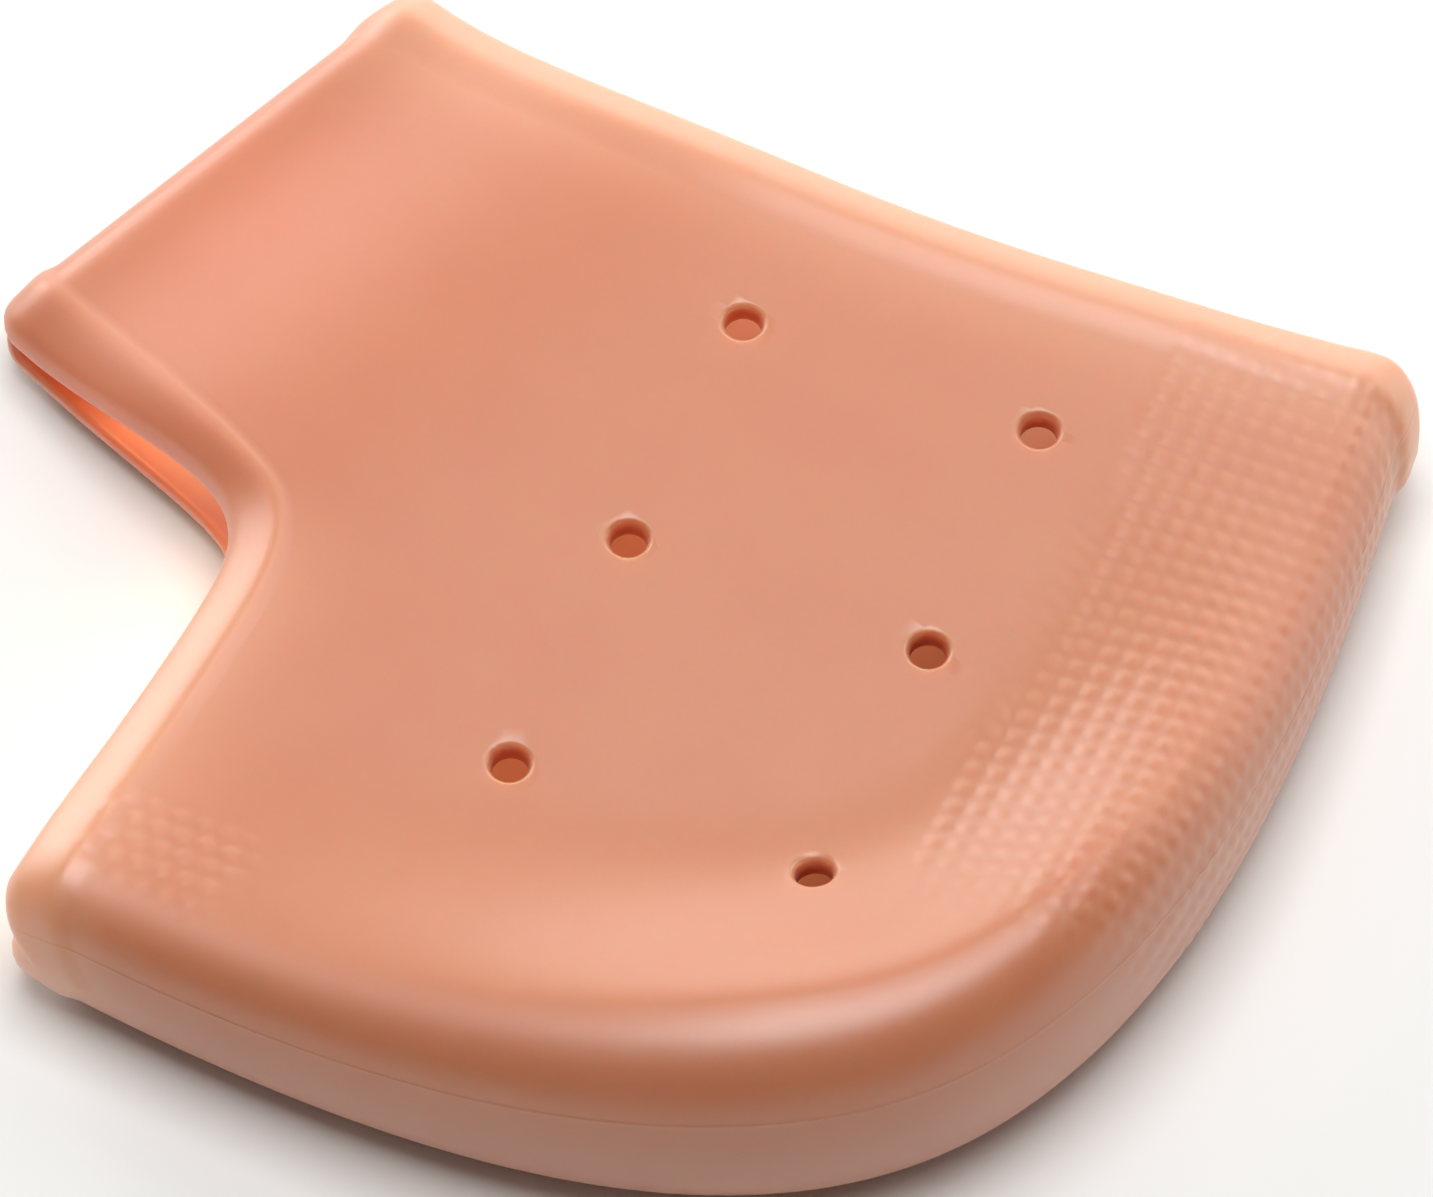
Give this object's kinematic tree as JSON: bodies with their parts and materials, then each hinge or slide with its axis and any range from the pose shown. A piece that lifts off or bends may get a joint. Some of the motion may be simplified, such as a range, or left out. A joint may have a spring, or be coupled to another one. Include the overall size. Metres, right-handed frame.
{
  "type": "silicone heel sleeve",
  "caption": "Soft silicone heel sleeve, open at the toes and leg, with a padded heel and sole, tapered vent holes and rounded lips, lying flattened on its side.",
  "frame": {"origin": "middle of the flattened sleeve's outline, on the surface it lies on", "axes": "+X toward the toes, square to the foot opening; +Y up the leg; +Z from the side it lies on to the upper side"},
  "size_m": [0.104, 0.1188, 0.0235],
  "materials": {
    "silicone": "satin"
  },
  "bodies": {
    "root": {"heel_sleeve": "silicone"}
  },
  "joints": []
}
